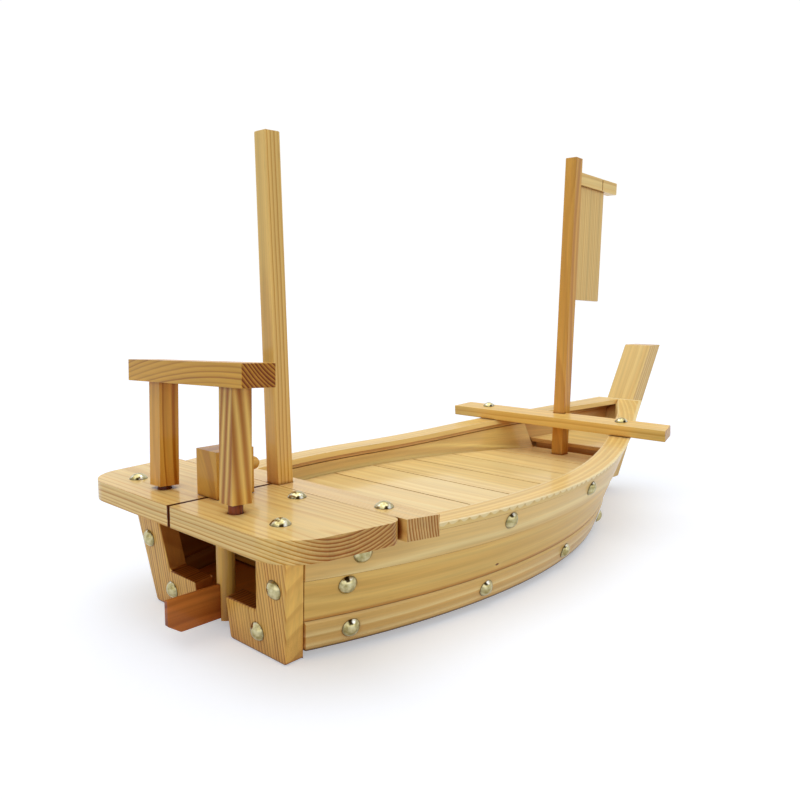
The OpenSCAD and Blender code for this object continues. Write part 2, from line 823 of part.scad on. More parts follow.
module mast_hole() {
    side = mast_side + 2 * mast_clear;
    translate([-side / 2, -side / 2, mast_foot - deck_z - seam])
        cube([side, side, far]);
}

module aft_mast() {
    low = mast_foot - deck_z;
    high = mast_top - deck_z;
    foot = mast_side / 2;
    top = mast_top_side / 2;
    color(wood) mast_place()
        intersection() {
            across(mast_side)
                polygon([[-foot, low], [foot, low], [foot, 0], [top, high], [-top, high], [-foot, 0]]);
            rotate([0, 0, 90])
                across(mast_side)
                    polygon([[-foot, low], [foot, low], [foot, 0], [top, high], [-top, high], [-foot, 0]]);
        }
}

module aft_mast_step() {
    side = mast_side + 2 * (mast_clear + step_wall);
    aft = mast_x - side / 2;
    color(wood)
        difference() {
            translate([aft, -side / 2, step_z - step_h])
                cube([bulkhead_aft - aft, side, step_h]);
            mast_place() mast_hole();
        }
}

// Fore mast, leaning forward, through the last floor slat into its step
module fore_place() {
    translate([fore_x, 0, floor_z])
        rotate([0, fore_lean, 0])
            children();
}

module fore_hole() {
    side = fore_side + 2 * mast_clear;
    translate([-side / 2, -side / 2, fore_foot - floor_z - seam])
        cube([side, side, far]);
}

module fore_mast() {
    low = fore_foot - floor_z;
    color(wood) fore_place()
        translate([-fore_side / 2, -fore_side / 2, low])
            cube([fore_side, fore_side, fore_top - floor_z - low]);
}

module fore_mast_step() {
    side = fore_side + 2 * (mast_clear + step_wall);
    color(wood)
        difference() {
            translate([fore_x - side / 2, -side / 2, fore_step_z - step_h])
                cube([side, side, step_h]);
            fore_place() fore_hole();
        }
}

module flag_bar() {
    low = fore_top - floor_z - flag_drop - flag_bar_h;
    color(wood_pale) fore_place()
        translate([fore_side / 2, 0, low])
            difference() {
                translate([0, -flag_bar_thick / 2, 0])
                    cube([flag_length, flag_bar_thick, flag_bar_h]);
                translate([-1, -flag_thick / 2 - seam / 2, -1])
                    cube([flag_w + 1 + seam, flag_thick + seam, flag_groove + 1]);
                for (y = [-1, 1])
                    translate([score_x, y * flag_bar_thick / 2, flag_bar_h / 2])
                        cube([score_w, score_w, 2 * flag_bar_h], center = true);
            }
}

module flag_plank() {
    high = fore_top - floor_z - flag_drop - flag_bar_h + flag_groove - seam;
    color(wood_pale) fore_place()
        translate([fore_side / 2, -flag_thick / 2, high - flag_h - flag_groove])
            cube([flag_w, flag_thick, flag_h + flag_groove]);
}

// Crossbar on the gunwale caps, tilted with their rise and notched for the fore mast
module crossbar_place() {
    translate([crossbar_x, 0, crossbar_z])
        rotate([0, -crossbar_tilt, 0])
            children();
}

module crossbar() {
    aft_half = crossbar_length / 2;
    color(wood)
        difference() {
            crossbar_place()
                linear_extrude(crossbar_h)
                    polygon([[-crossbar_w / 2, -aft_half], [crossbar_w / 2, crossbar_slant - aft_half],
                             [crossbar_w / 2, aft_half - crossbar_slant], [-crossbar_w / 2, aft_half]]);
            fore_place() fore_hole();
        }
}

// Dome nail with its back on Z = 0
module nail() {
    r = (nail_d * nail_d / 4 + nail_h * nail_h) / (2 * nail_h);
    intersection() {
        translate([0, 0, nail_h - r]) sphere(r);
        cylinder(d = nail_d, h = nail_h);
    }
}

module deck_nails() {
    places = [[deck_aft_x + deck_nail_aft, deck_half - deck_nail_side], [beam_aft_x - deck_nail_fore, deck_nail_mid]];
    color(brass)
        for (place = places, side = [-1, 1])
            translate([place[0], side * place[1], deck_z + glue])
                nail();
}

module beam_nails() {
    color(brass)
        for (side = [-1, 1])
            translate([(beam_aft_x + beam_fore_x) / 2, side * (gunwale_half(beam_aft_x) - beam_nail_in), deck_z + glue])
                nail();
}

module transom_nails() {
    foot_half = half(transom_fore, 0);
    places = [[foot_half - transom_nail_in, transom_nail_z], [foot_half - transom_low_nail_in, transom_low_nail_z]];
    color(brass)
        for (place = places, side = [-1, 1])
            translate([transom_x - place[1] * rake_tan, side * place[0], place[1]])
                rotate([0, -90 - transom_rake, 0])
                    translate([0, 0, seam])
                        nail();
}

// Nail on the port planking, square to it
module side_nail(x, z, proud) {
    normal = side_normal(x, z);
    place = [x, half(x, z), z] + normal / norm(normal) * (proud + seam);
    translate(place)
        rotate([0, acos(normal[2] / norm(normal)), atan2(normal[1], normal[0])])
            nail();
}

module side_nails(side) {
    first = transom_x + side_nail_first;
    color(brass) on_side(side) {
        for (x = [first:lower_nail_pitch:first + 3 * lower_nail_pitch])
            side_nail(x, lower_nail_z, wale_proud);
        side_nail(first - nail_d / 2, middle_nail_z, 0);
        for (x = [first:upper_nail_pitch:first + 2 * upper_nail_pitch])
            side_nail(x, cap_z(x) - upper_nail_drop, strake_proud);
    }
}

module crossbar_nails() {
    color(brass) crossbar_place()
        for (y = [crossbar_nail_port, -crossbar_nail_starboard])
            translate([nail_d / 3, y, crossbar_h + glue])
                nail();
}

keel_strip();
bottom_board();
stem();
stern_bulkhead();
bow_ramp();
mast_beam();
rudder_stock();
rudder_blade();
rudder_head();
tiller_peg();
gate_bar();
aft_mast();
aft_mast_step();
fore_mast();
fore_mast_step();
flag_bar();
flag_plank();
crossbar();
deck_nails();
beam_nails();
transom_nails();
crossbar_nails();
for (side = ["port", "starboard"]) {
    transom(side);
    lower_wale(side);
    middle_strake(side);
    upper_strake(side);
    lining(side);
    beam_shelf(side);
    floor_ledge(side);
    gunwale_cap(side);
    deck(side);
    gate_post(side);
    gate_dowel(side);
    side_nails(side);
}
for (number = [1:slat_count])
    floor_slat(number);
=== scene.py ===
"""Looks of the sushi boat: varnished pine boards, each from its own log, brass nails and a white studio."""
import math

import bpy
from mathutils import Matrix, Vector


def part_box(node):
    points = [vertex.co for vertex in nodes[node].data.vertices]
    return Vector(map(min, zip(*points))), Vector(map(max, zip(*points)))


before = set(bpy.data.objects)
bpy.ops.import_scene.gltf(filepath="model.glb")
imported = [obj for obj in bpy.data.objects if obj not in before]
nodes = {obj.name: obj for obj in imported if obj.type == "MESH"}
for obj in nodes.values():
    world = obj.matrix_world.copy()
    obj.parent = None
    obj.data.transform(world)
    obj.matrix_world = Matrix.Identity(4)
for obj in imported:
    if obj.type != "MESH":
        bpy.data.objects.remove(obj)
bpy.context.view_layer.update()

MM = 0.001

# Camera at the photograph's place
CAMERA_PLACE = Vector((-413.92, -363.28, 191.16)) * MM
CAMERA_YAW = math.radians(42.59)
CAMERA_PITCH = math.radians(7.41)
CAMERA_ROLL = math.radians(0.40)
CAMERA_LENS = 33.88
CAMERA_SENSOR = 36
CAMERA_NEAR = 0.01

# Studio: the world's strength as a light and as a background
WORLD_LIGHT = 0.3
WORLD_SEEN = 1.02

# Strength, spread and direction of each lamp
LAMPS = {
    "key": (1.64, math.radians(70), (-0.05, 0.14, 1.0)),
    "fill": (1.15, math.radians(110), (-0.46, -0.9, 0.26)),
}

# Floor: it glows a little where it is seen directly, so that it is as white as the background
WHITE = (1, 1, 1, 1)
FLOOR_COLOUR = (0.69, 0.73, 0.81, 1)
FLOOR_GLOW = 0.38
FLOOR_ROUGH = 0.9
FLOOR_REACH = 30
FLOOR_DROP = 0.2 * MM

# Grain directions of the boards; the masts, the stem and the grain of the rudder's head lean
MAST_LEAN = math.radians(1.7)
STEM_LEAN = math.radians(33)
HEAD_LEAN = 0.5
GRAIN = {
    "x": (1, 0, 0),
    "y": (0, 1, 0),
    "z": (0, 0, 1),
    "aft": (-math.sin(MAST_LEAN), 0, math.cos(MAST_LEAN)),
    "fore": (math.sin(MAST_LEAN), 0, math.cos(MAST_LEAN)),
    "stem": (math.sin(STEM_LEAN), 0, math.cos(STEM_LEAN)),
    "slant": (0, math.sin(HEAD_LEAN), math.cos(HEAD_LEAN)),
    "plank": (1, 0, 0),
}

# Planks: radius of the hull's curve and half-breadth, in m, and how much their ends darken as end grain
PLANK_RADIUS = 0.5
PLANK_SIDE = 0.105
PLANK_END = 0.15

# Early wood and late wood of each tone, as display colours
TONES = {
    "cream": ((246, 218, 150), (212, 156, 60)),
    "pale": ((238, 205, 130), (204, 146, 52)),
    "straw": ((235, 195, 110), (194, 132, 38)),
    "striped": ((231, 191, 103), (162, 94, 20)),
    "lined": ((246, 218, 134), (180, 114, 24)),
    "honey": ((230, 182, 88), (168, 102, 24)),
    "orange": ((248, 201, 106), (182, 106, 28)),
    "amber": ((218, 166, 68), (164, 98, 22)),
    "gold": ((222, 165, 69), (168, 98, 18)),
    "red": ((196, 116, 48), (146, 76, 20)),
    "dark": ((150, 72, 30), (78, 32, 12)),
}

# Each board: grain, the log's heart from the board's middle in mm, ring width in mm, tone and ring contrast
BOARDS = {
    # The keel strip's dark tone and the bottom board's red tone are painted shade of the hull's dark inside
    "keel_strip": ("x", (0, 20, 60), 3.0, "dark", 0.6),
    "bottom_board": ("x", (0, 30, -80), 4.0, "red", 0.6),
    "stem": ("stem", (-60, 12, 20), 3.6, "pale", 1.4),
    "stern_bulkhead": ("y", (50, 0, 30), 4.0, "honey", 0.8),
    "bow_ramp": ("y", (20, 0, -60), 3.2, "pale", 0.5),
    "mast_beam": ("y", (90, 0, 8), 1.7, "cream", 1.7),
    "rudder_stock": ("z", (14, 6, 0), 3.0, "honey", 0.6),
    "rudder_blade": ("x", (0, 5, 22), 9.0, "red", 0.6),
    "rudder_head": ("slant", (-8, 40, 0), 20.0, "amber", 0.5),
    "tiller_peg": ("x", (0, 10, 5), 2.5, "honey", 0.6),
    "gate_bar": ("y", (42, -45, 45), 1.9, "amber", 1.4),
    "aft_mast": ("aft", (-90, 3, 0), 2.8, "straw", 1.0),
    "aft_mast_step": ("y", (20, 0, 20), 3.0, "honey", 0.6),
    "fore_mast": ("fore", (-34, 10, 60), 6.5, "gold", 1.25),
    "fore_mast_step": ("y", (20, 0, 20), 3.0, "honey", 0.6),
    "flag_bar": ("x", (0, 20, 14), 3.5, "pale", 1.1),
    "flag_plank": ("fore", (60, 10, 0), 3.0, "pale", 1.2),
    "crossbar": ("y", (-30, 0, 40), 4.2, "straw", 0.7),
    "transom": ("z", (6, 75, 0), 2.6, "orange", 1.3),
    "lower_wale": ("plank", (0, 8, -44), 6.0, "cream", 1.3),
    "middle_strake": ("plank", (0, -60, -30), 7.0, "straw", 1.5),
    "upper_strake": ("plank", (0, -60, 30), 7.0, "cream", 1.4),
    "lining": ("plank", (0, -50, 30), 3.6, "lined", 1.7),
    "beam_shelf": ("plank", (0, -50, 12), 4.0, "pale", 0.5),
    "floor_ledge": ("plank", (0, -50, 12), 4.0, "honey", 0.6),
    "gunwale_cap": ("plank", (0, -60, 10), 5.0, "pale", 0.9),
    "deck": ("y", (-4, 0, 52), 2.0, "pale", 1.8),
    "gate_post_port": ("z", (24, -12, 0), 5.5, "gold", 1.0),
    "gate_post_starboard": ("z", (70, 70, 0), 4.4, "striped", 2.6),
    "gate_dowel": ("z", (10, 4, 0), 1.3, "dark", 1.2),
    "floor_slat": ("y", (14, 0, -70), 3.0, "cream", 1.4),
}

# Bow of the grain along a board, in 1/m; a board outside a table has the plain value, if there is one
PLAIN_BOW = 0.0
BOWED = {"gate_bar": 1.3, "gate_post_port": 0.8, "fore_mast": 0.5, "rudder_blade": 2.0, "rudder_head": 6.0}

# Softness of the rings, from 0 for lines to 1 for bands
PLAIN_BAND = 0.1
BANDED = {
    "gate_post_starboard": 0.9, "upper_strake": 0.8, "middle_strake": 0.8, "lower_wale": 0.6, "lining": 0.7,
    "gunwale_cap": 0.6, "stem": 0.5, "transom": 0.3, "fore_mast": 0.4, "floor_slat": 0.5, "flag_plank": 0.7,
}

# Width of the sanded edges in mm, and the side of the board they lie on if it is not every side
PLAIN_EDGE = (0.6, None)
EDGES = {
    "transom": (1.8, (-1, 0, 0)), "gunwale_cap": (1.8, (0, 0, 1)), "gate_post": (1.0, None),
    "aft_mast": (0.9, None), "deck": (0.9, None), "lower_wale": (1.0, None), "upper_strake": (0.2, None),
    "middle_strake": (0.2, None),
}

# Width in mm of the edges away from that side, and how far an edge's normal may turn from it, as a cosine
NARROW_EDGE = 0.2
SIDE_TURN = -0.3

# Edges bent by more than these angles in degrees are sharp; only those of boards are sanded
BOARD_SHARP = 32
NAIL_SHARP = 75

# Segments of a sanded edge, and the distance within which split corners are joined
EDGE_SEGMENTS = 2
WELD_REACH = 0.01 * MM

# Weight of the varnish
PLAIN_VARNISH = 0.4
VARNISH = {
    "upper_strake": 0.2, "middle_strake": 0.2, "lower_wale": 0.2, "rudder_blade": 0.3, "transom": 0.15,
    "gate_bar": 0.12, "gate_post": 0.2, "gunwale_cap": 0.15, "crossbar": 0.2, "stem": 0.3, "flag": 0.25,
    "deck": 0.3, "rudder_head": 0.2, "aft_mast": 0.5,
}

# Weight of the dirt and painted shade in the joints
PLAIN_JOINT_DIRT_AND_SHADE = 1.0
JOINT_DIRT_AND_SHADE_WEIGHTS = {
    "upper_strake": 0.15, "middle_strake": 0.4, "lower_wale": 0.5, "lining": 0.15, "gunwale_cap": 0.2,
    "beam_shelf": 0.25, "bow_ramp": 0.7, "transom": 0.4,
}

# Painted shade along the lower edge of a board, for the groove above the wale, the dark line at the hull's
# foot and the shaded riser under the bow ramp: width in mm, colour and weight; and how fast it fades
FOOT_SHADE = {
    "middle_strake": (2.4, (190, 124, 52), 0.75), "lower_wale": (1.5, (66, 46, 38), 0.9),
    "transom": (1.0, (66, 46, 38), 0.7), "bow_ramp": (11, (196, 120, 48), 0.85),
}
FOOT_SHADE_FADE = 1.6

# Painted shade on faces of a board that lie in shade, under the deck, behind the beam and inside the hull:
# the ways they point, and their tint
DEEP_SHADE = (0.40, 0.20, 0.12)
AFT_SHADE = (0.84, 0.64, 0.40)
INNER_SHADE = (0.94, 0.84, 0.64)
FACE_SHADE = {
    "transom": ((("up", "in"), DEEP_SHADE),),
    "mast_beam": ((("aft",), AFT_SHADE),),
    "upper_strake": ((("in",), INNER_SHADE), (("room",), DEEP_SHADE)),
    "middle_strake": ((("in",), INNER_SHADE), (("room",), DEEP_SHADE)),
    "lower_wale": ((("room",), DEEP_SHADE),),
}

# Weight of that painted shade, the cosine to the way where it begins, and its gain
FACE_SHADE_WEIGHT = 0.9
FACE_SHADE_START = 0.5
FACE_SHADE_GAIN = 4.0

# Small knots of a board, twice as long as high: place along the hull, height and half-height, in mm
KNOTS = {
    "middle_strake_starboard": ((-36, 28, 1.0), (6, 22.5, 0.7)),
    "middle_strake_port": ((-40, 44, 1.2),),
    "upper_strake_port": ((120, 70, 0.9),),
}

# Colour of knots, the nearness where it begins, its gain, and how far a knot pushes the rings aside
KNOT_COLOUR = (116, 68, 30)
KNOT_START = 0.55
KNOT_GAIN = 6.0
KNOT_PUSH = 5 * MM

# Noise that moves the rings: its scale along and across the log in 1/m, and its strength in m, or in rings
SWAY = ((3.5, 14, 14), 6 * MM)
RIPPLE = ((16, 60, 60), 1.2 * MM)
UNEVEN = ((90, 1, 1), 1.8)

# Late wood across one ring: the part of the ring and its share of late wood; and half the depth of a band
RING_PROFILE = ((0.0, 0.12), (0.18, 0.0), (0.55, 0.22), (0.84, 1.0), (0.92, 0.9), (1.0, 0.12))
BAND_DEPTH = 0.35

# Depth of a ring: the least, what chance adds to it, and the even depth of bands
LEAST_DEPTH = 0.45
CHANCE_DEPTH = 0.75
EVEN_DEPTH = 0.8

# What rings lose where a face runs along them, what they gain on end grain, and how fast end grain begins
SLANT_LOSS = 0.65
END_GAIN = 0.6
END_POWER = 4.0

# Noise that makes the wood lighter and darker: its scale as above, its detail and its strength
LIGHTNESS = {
    "fibre": ((9, 750, 750), 3.0, 0.3),
    "blotch": ((4, 13, 13), 2.0, 0.26),
    "shade": ((5, 190, 190), 3.0, 0.42),
    "streak": ((50, 520, 520), 2.0, -0.3),
}
STREAK_START = 0.2
STREAK_GAIN = 5.0

# Tint of end grain, on early wood and on late wood
END_EARLY = (0.74, 0.62, 0.50, 1)
END_LATE = (0.50, 0.29, 0.16, 1)

# Old varnish and painted shade in joints, and painted red shade of shut-in places: reach in mm, openness
# where it begins, gain, rays
JOINT_DIRT_AND_SHADE = (3.5, 0.84, 2.2, 8)
JOINT_DIRT_AND_SHADE_TINT = (0.44, 0.25, 0.12)
ROOM_SHADE = (45, 0.46, 5.0, 6)
ROOM_SHADE_TINT = (0.66, 0.36, 0.24)

# The dark room under the stern deck: its fore end in mm, and the weight of the painted red shade out of it
# and in it
ROOM_FORE = -80
ROOM_OUTSIDE = 0.85
ROOM_INSIDE = 1.0

# Surface of the varnished wood: roughness, relief and reflections
WOOD_ROUGH = 0.36
FIBRE_ROUGH = 0.16
LATE_ROUGH = -0.06
FIBRE_RELIEF = 0.8
RELIEF_STRENGTH = 0.12
RELIEF_DEPTH = 0.3 * MM
WOOD_IOR = 1.5
WOOD_SPECULAR = 0.12
VARNISH_ROUGH = 0.1

# Top of the gunwale in mm: its height, where its rise begins, the length of the bend and the slope beyond
SHEER = (67.9, 45, 100, 0.104)

# Scallops on the gunwale's outer edge, in mm: length, least depth and what the wave adds to it
SCALLOP_LENGTH = 8.2
SCALLOP_LEAST = 0.1
SCALLOP_WAVE = 2.4

# Noise in the scallops' places and depths: scale in 1/m, seed and strength in mm
SCALLOP_JOLT = ((60, 20, 20), 6.0, 9)
SCALLOP_UNEVEN = ((60, 60, 60), 4.0, 3.0)

# Pale border in the scallops, partly rubbed wear and partly painted highlight of the edge, near an edge of
# the solid by reach, openness, gain, rays, and on outer faces
BORDER = (3.0, 0.9, 6.0, 8)
OUTER_START = -0.2
OUTER_GAIN = 5.0
WEAR_AND_HIGHLIGHT_COLOUR = (246, 224, 168)
WEAR_AND_HIGHLIGHT_WEIGHT = 0.9
WEAR_AND_HIGHLIGHT_GAIN = 2.5

# Brown notches between the scallops, where the wave is low; their depth below the top and their reach, in mm
NOTCH_COLOUR = (150, 96, 42)
NOTCH_WEIGHT = 0.22
NOTCH_WAVE = 0.42
NOTCH_GAIN = 3.0
NOTCH_DEPTH = 0.9
NOTCH_REACH = 1.1

# Dark border of painted shade along the saw kerf in the deck, which makes the kerf look wider, in mm: reach
# from the boat's middle, soft edge and ragged noise
KERF_SHADE_COLOUR = (104, 52, 22)
KERF_REACH = 1.7
KERF_SOFT = 0.4
KERF_RAGGED = ((300, 20, 500), 2.0, 1.6)

# Brass of the nails: its colours, the last a dark one for dirt, painted shade and painted dark reflections,
# and the noise of the dull film by scale, seed and strength
BRIGHT = (200, 191, 148)
DULL = (154, 142, 92)
DARK_DIRT_AND_SHADE = (44, 33, 14)
FILM = ((300, 300, 300), 3.0, 3.5)
FILM_MIDDLE = 0.5

# Dirt and painted shade round the nails, by reach in mm, openness, gain and rays; and the brass's roughness
RIM_DIRT_AND_SHADE = (4.0, 0.93, 4.0, 8)
BRASS_ROUGH = 0.24
FILM_ROUGH = -0.10
DIRT_ROUGH = 0.3

# Painted highlights and painted reflections, light and dark, as spots on the nails by the way the surface
# faces: the same on both sides of the boat or not, direction, least cosine and colour
PAINTED_GLINT = (238, 234, 214)
NAIL_PAINTED_SPOTS = (
    ("mirrored", (-0.42, 0.72, 0.55), 0.955, DARK_DIRT_AND_SHADE),
    ("mirrored", (-0.14, 0.80, 0.58), 0.975, (250, 248, 236)),
    ("plain", (-0.66, 0.06, 0.75), 0.978, PAINTED_GLINT),
    ("plain", (0.0, -0.62, 0.78), 0.978, PAINTED_GLINT),
    ("plain", (-0.42, -0.36, 0.84), 0.985, (140, 128, 88)),
)
PAINTED_SPOT_GAIN = 34.0
SPECKLE = ((500, 500, 500), 9.0, 0.05)

# Step of the noise seed from one board to the next
SEED_STEP = 7.3


def linear(display):
    """A display colour, 0 to 255, as Blender's linear colour with alpha."""
    def one(v):
        v /= 255
        return v / 12.92 if v <= 0.04045 else ((v + 0.055) / 1.055) ** 2.4
    return tuple(one(v) for v in display) + (1.0,)


def give(tree, node, inputs):
    """Sets inputs of a node; each is a plain value or another node's output."""
    for key, value in inputs.items():
        if isinstance(value, bpy.types.NodeSocket):
            tree.links.new(value, node.inputs[key])
        else:
            node.inputs[key].default_value = value


def add(tree, kind, inputs=None, **settings):
    """A new node with its settings and inputs."""
    made = tree.nodes.new(kind)
    for name, value in settings.items():
        setattr(made, name, value)
    give(tree, made, inputs or {})
    return made


def calc(tree, operation, *values, clamp=False):
    """The result of a Math node."""
    inputs = dict(enumerate(values))
    return add(tree, "ShaderNodeMath", inputs, operation=operation, use_clamp=clamp).outputs[0]


def squared(tree, value):
    """A number times itself."""
    return calc(tree, "MULTIPLY", value, value)


def excess(tree, value, limit, gain):
    """How far a value lies above a limit, times a gain, kept between 0 and 1."""
    return calc(tree, "MULTIPLY", calc(tree, "SUBTRACT", value, limit), gain, clamp=True)


def parts(tree, vector):
    """The three parts of a vector."""
    return add(tree, "ShaderNodeSeparateXYZ", {0: vector}).outputs


def joined(tree, x=0.0, y=0.0, z=0.0):
    """A vector from its three parts."""
    return add(tree, "ShaderNodeCombineXYZ", {0: x, 1: y, 2: z}).outputs[0]


def vector_calc(tree, operation, first, second):
    """The result of a Vector Math node with two vectors."""
    made = add(tree, "ShaderNodeVectorMath", {0: first, 1: second}, operation=operation)
    return made.outputs["Value" if operation == "DOT_PRODUCT" else "Vector"]


def mixed(tree, share, first, second):
    """One colour blended into another."""
    return add(tree, "ShaderNodeMix", {0: share, 6: first, 7: second}, data_type="RGBA").outputs[2]


def tinted(tree, share, colour, tint):
    """A colour blended into its product with a tint."""
    return mixed(tree, share, colour, vector_calc(tree, "MULTIPLY", colour, tint))


def stretched_noise(tree, place, scale, seed, detail=2.0):
    """Noise from -0.5 to 0.5, with its own scale along each axis of the place."""
    scaled = vector_calc(tree, "MULTIPLY", place, scale)
    moved = vector_calc(tree, "ADD", scaled, joined(tree, seed, seed, seed))
    noise = add(tree, "ShaderNodeTexNoise", {"Vector": moved, "Scale": 1.0, "Detail": detail})
    return calc(tree, "SUBTRACT", noise.outputs[0], 0.5)


def shut_in(tree, reach, start, gain, rays, inside=False):
    """How much surfaces close in on a place within a reach in mm, outside or inside the solid, 0 to 1."""
    inputs = {"Distance": reach * MM}
    air = add(tree, "ShaderNodeAmbientOcclusion", inputs, samples=rays, inside=inside).outputs["AO"]
    return excess(tree, start, air, gain)


def late_wood(tree, rings, banded, seed):
    """The share of late wood at a place counted in rings, as lines or as soft bands."""
    ramp = add(tree, "ShaderNodeValToRGB", {0: calc(tree, "FRACT", rings)})
    ramp.color_ramp.interpolation = "EASE"
    stops = ramp.color_ramp.elements
    for position, _ in RING_PROFILE[1:-1]:
        stops.new(position)
    for stop, (position, value) in zip(stops, RING_PROFILE):
        stop.position = position
        stop.color = (value, value, value, 1)
    line = ramp.outputs[0]
    wave = calc(tree, "COSINE", calc(tree, "MULTIPLY", rings, 2 * math.pi))
    band = calc(tree, "MULTIPLY_ADD", wave, -BAND_DEPTH, BAND_DEPTH)
    profile = calc(tree, "MULTIPLY_ADD", calc(tree, "SUBTRACT", band, line), banded, line)

    number = calc(tree, "ADD", calc(tree, "FLOOR", rings), seed)
    chance = add(tree, "ShaderNodeTexWhiteNoise", {"W": number}, noise_dimensions="1D").outputs["Value"]
    depth = calc(tree, "MULTIPLY_ADD", chance, CHANCE_DEPTH, LEAST_DEPTH)
    depth = calc(tree, "MULTIPLY_ADD", calc(tree, "SUBTRACT", EVEN_DEPTH, depth), banded, depth)
    return calc(tree, "MULTIPLY", profile, depth)


def pine_rings():
    """Node group: the colour, roughness and relief of pine at a place in its log, with the log along X."""
    tree = bpy.data.node_groups.new("pine_rings", "ShaderNodeTree")
    numbers = ("End", "Room", "JointShade", "Ring", "Contrast", "Banded", "Bow", "Knot", "Seed")
    for kind, names in (("Vector", ("Place", "Face")), ("Float", numbers), ("Color", ("Early", "Late"))):
        for name in names:
            tree.interface.new_socket(name, in_out="INPUT", socket_type="NodeSocket" + kind)
    for name, kind in (("Color", "Color"), ("Roughness", "Float"), ("Height", "Float")):
        tree.interface.new_socket(name, in_out="OUTPUT", socket_type="NodeSocket" + kind)
    given = tree.nodes.new("NodeGroupInput").outputs
    place, seed = given["Place"], given["Seed"]

    # Growth rings: the distance from the heart, swaying along the log, cut into uneven rings
    across = parts(tree, place)
    bowed = calc(tree, "MULTIPLY_ADD", squared(tree, across[0]), given["Bow"], across[2])
    radius = calc(tree, "SQRT", calc(tree, "ADD", squared(tree, across[1]), squared(tree, bowed)))
    for scale, strength in (SWAY, RIPPLE):
        radius = calc(tree, "MULTIPLY_ADD", stretched_noise(tree, place, scale, seed), strength, radius)
    radius = calc(tree, "MULTIPLY_ADD", given["Knot"], KNOT_PUSH, radius)
    scale, strength = UNEVEN
    uneven = stretched_noise(tree, joined(tree, radius), scale, seed)
    rings = calc(tree, "MULTIPLY_ADD", uneven, strength, calc(tree, "DIVIDE", radius, given["Ring"]))
    contrast = calc(tree, "MULTIPLY", late_wood(tree, rings, given["Banded"], seed), given["Contrast"])

    # Where a face runs along the rings, it cuts them at a slant and they look soft
    from_heart = joined(tree, 0.0, across[1], bowed)
    outward = add(tree, "ShaderNodeVectorMath", {0: from_heart}, operation="NORMALIZE").outputs[0]
    slant = squared(tree, vector_calc(tree, "DOT_PRODUCT", outward, given["Face"]))
    contrast = calc(tree, "MULTIPLY", contrast, calc(tree, "MULTIPLY_ADD", slant, -SLANT_LOSS, 1.0))
    at_end = calc(tree, "MULTIPLY_ADD", given["End"], END_GAIN, 1.0)
    late = calc(tree, "MULTIPLY", contrast, at_end, clamp=True)

    # Fibres, blotches, long shades and short resin streaks along the grain
    light = 1.0
    noises = {}
    for name, (scale, detail, strength) in LIGHTNESS.items():
        noises[name] = stretched_noise(tree, place, scale, seed, detail)
        if name == "streak":
            noises[name] = excess(tree, noises[name], STREAK_START, STREAK_GAIN)
        light = calc(tree, "MULTIPLY_ADD", noises[name], strength, light)
    wood = mixed(tree, late, given["Early"], given["Late"])
    wood = add(tree, "ShaderNodeVectorMath", {0: wood, "Scale": light}, operation="SCALE").outputs[0]

    # End grain drinks more varnish and turns dark and red, most of all in the late wood
    wood = tinted(tree, given["End"], wood, mixed(tree, late, END_EARLY, END_LATE))

    # Knots, old varnish and painted shade gathered in the joints, and the painted red shade of shut-in places
    wood = mixed(tree, excess(tree, given["Knot"], KNOT_START, KNOT_GAIN), wood, linear(KNOT_COLOUR))
    for weight, measure, tint in (("JointShade", JOINT_DIRT_AND_SHADE, JOINT_DIRT_AND_SHADE_TINT), ("Room", ROOM_SHADE, ROOM_SHADE_TINT)):
        share = calc(tree, "MULTIPLY", shut_in(tree, *measure), given[weight])
        wood = tinted(tree, share, wood, tint)

    rough = calc(tree, "MULTIPLY_ADD", noises["fibre"], FIBRE_ROUGH, WOOD_ROUGH)
    rough = calc(tree, "MULTIPLY_ADD", late, LATE_ROUGH, rough)
    relief = calc(tree, "MULTIPLY_ADD", noises["fibre"], FIBRE_RELIEF, late)
    out = tree.nodes.new("NodeGroupOutput")
    give(tree, out, {"Color": wood, "Roughness": rough, "Height": relief})


def new_material(name):
    """An empty material with its Principled shader, as (material, tree, shader)."""
    material = bpy.data.materials.new(name)
    material.use_nodes = True
    tree = material.node_tree
    tree.nodes.clear()
    shader = tree.nodes.new("ShaderNodeBsdfPrincipled")
    add(tree, "ShaderNodeOutputMaterial", {"Surface": shader.outputs[0]})
    return material, tree, shader


def near_knots(tree, spot, knots):
    """How near a place on the hull's side is to a knot, from 0 to 1."""
    nearest = 0.0
    for x, z, size in knots:
        along = calc(tree, "DIVIDE", calc(tree, "SUBTRACT", spot[0], x * MM), 2 * size * MM)
        up = calc(tree, "DIVIDE", calc(tree, "SUBTRACT", spot[2], z * MM), size * MM)
        far = calc(tree, "ADD", squared(tree, along), squared(tree, up))
        near = calc(tree, "DIVIDE", 1.0, calc(tree, "ADD", far, 1.0))
        nearest = calc(tree, "MAXIMUM", nearest, near)
    return nearest


def below_sheer(tree, spot):
    """The depth of a place below the gunwale's top, in mm."""
    height, rise, bend, slope = SHEER
    beyond = calc(tree, "SUBTRACT", spot[0], rise * MM)
    curve = calc(tree, "MINIMUM", calc(tree, "MAXIMUM", beyond, 0.0), bend * MM)
    top = calc(tree, "MULTIPLY_ADD", squared(tree, curve), slope / (2 * bend * MM), height * MM)
    straight = calc(tree, "MAXIMUM", calc(tree, "SUBTRACT", beyond, bend * MM), 0.0)
    top = calc(tree, "MULTIPLY_ADD", straight, slope, top)
    return calc(tree, "DIVIDE", calc(tree, "SUBTRACT", top, spot[2]), MM)


